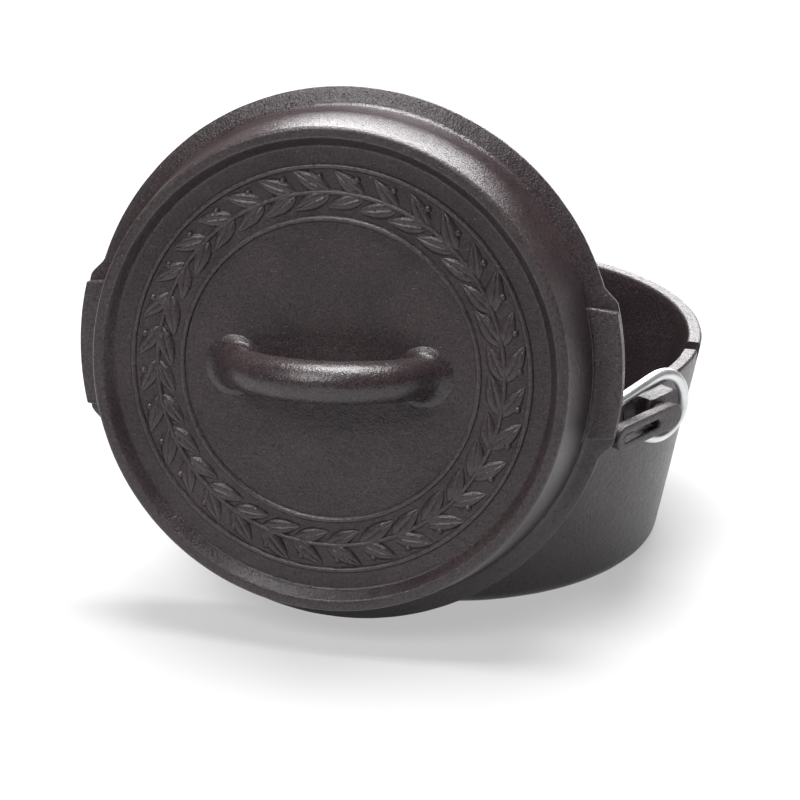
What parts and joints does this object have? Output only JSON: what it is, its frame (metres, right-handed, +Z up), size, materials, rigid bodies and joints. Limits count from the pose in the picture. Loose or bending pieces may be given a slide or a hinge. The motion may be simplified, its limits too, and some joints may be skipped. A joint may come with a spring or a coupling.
{
  "type": "camp dutch oven",
  "caption": "Cast iron camp pot with a notched rim and cast lugs, a swinging wire bail, and a deep lid with a bow handle that leans against the pot.",
  "frame": {"origin": "centre of the pot's flat base, on the surface that the pot stands on", "axes": "+Z up along the pot's axis, the lid leans on the -Y side of the pot, +X points through the thermometer notch in the rim"},
  "size_m": [0.1905, 0.2031, 0.1677],
  "materials": {
    "cast_iron": "seasoned, sandy casting skin",
    "zinc_wire": "bright zinc plating"
  },
  "bodies": {
    "pot": {"pot": "cast_iron"},
    "lid": {"lid": "cast_iron"},
    "bail": {"bail": "zinc_wire"}
  },
  "joints": [
    {"name": "bail_swing", "type": "hinge", "parent": "pot", "child": "bail", "pos_m": [0, 0, 0.065], "axis": [-0.8788, 0.4772, 0], "range_deg": [-32, 202]},
    {"name": "lid_lift", "type": "slide", "parent": "pot", "child": "lid", "axis": [0, -0.7071, 0.7071], "range_m": [0, 0.14]}
  ]
}
